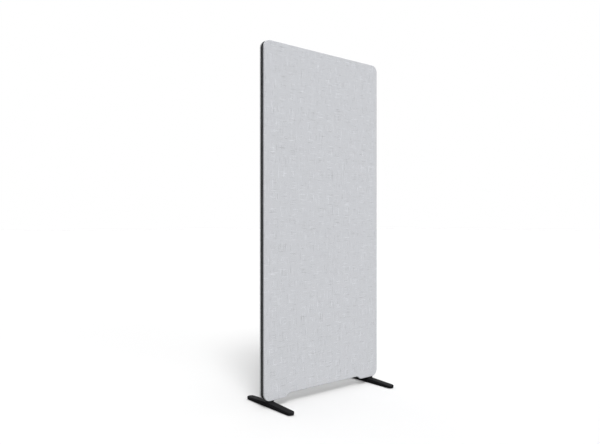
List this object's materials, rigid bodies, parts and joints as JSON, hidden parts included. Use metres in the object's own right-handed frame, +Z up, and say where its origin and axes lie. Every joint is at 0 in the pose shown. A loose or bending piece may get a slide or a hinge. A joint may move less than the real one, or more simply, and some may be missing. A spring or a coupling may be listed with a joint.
{
  "type": "acoustic divider screen",
  "caption": "Free-standing flat upholstered acoustic panel with rounded corners and a raised lower edge, on two low tapered feet.",
  "frame": {"origin": "on the floor, under the centre of the panel", "axes": "+X along the panel's width to the right seen from the front, +Y through its thickness from the front to the back, +Z up"},
  "size_m": [0.8, 0.358, 1.8],
  "materials": {
    "timber": "planed softwood, unfinished",
    "dowel_wood": "fluted beech, unfinished",
    "absorber": "polyester fibre slab",
    "strip_plastic": "matt black, fine grain",
    "felt_board": "pressed felt, grey",
    "foam": "open-cell foam, off-white",
    "cover_fabric": "plain-weave wool blend, light grey melange",
    "clip_plastic": "natural nylon",
    "foot_paint": "black powder coat, fine texture",
    "spacer_plastic": "matt black",
    "bolt_steel": "zinc-plated steel",
    "washer_steel": "zinc-plated steel",
    "nut_steel": "zinc-plated steel",
    "glide_rubber": "matt dark grey felt-faced rubber"
  },
  "bodies": {
    "root": {"left_stile": "timber", "right_stile": "timber", "bottom_rail": "timber", "lower_mid_rail": "timber", "upper_mid_rail": "timber", "top_rail": "timber", "frame_dowels": "dowel_wood", "lower_infill": "absorber", "middle_infill": "absorber", "upper_infill": "absorber", "edge_strip": "strip_plastic", "front_board": "felt_board", "back_board": "felt_board", "front_foam": "foam", "back_foam": "foam", "front_cover": "cover_fabric", "back_cover": "cover_fabric", "front_clips": "clip_plastic", "back_clips": "clip_plastic", "left_foot": "foot_paint", "right_foot": "foot_paint", "left_spacer": "spacer_plastic", "right_spacer": "spacer_plastic", "left_bolts": "bolt_steel", "right_bolts": "bolt_steel", "left_washers": "washer_steel", "right_washers": "washer_steel", "left_cross_nuts": "nut_steel", "right_cross_nuts": "nut_steel", "left_front_glide": "glide_rubber", "left_back_glide": "glide_rubber", "right_front_glide": "glide_rubber", "right_back_glide": "glide_rubber"}
  },
  "joints": []
}
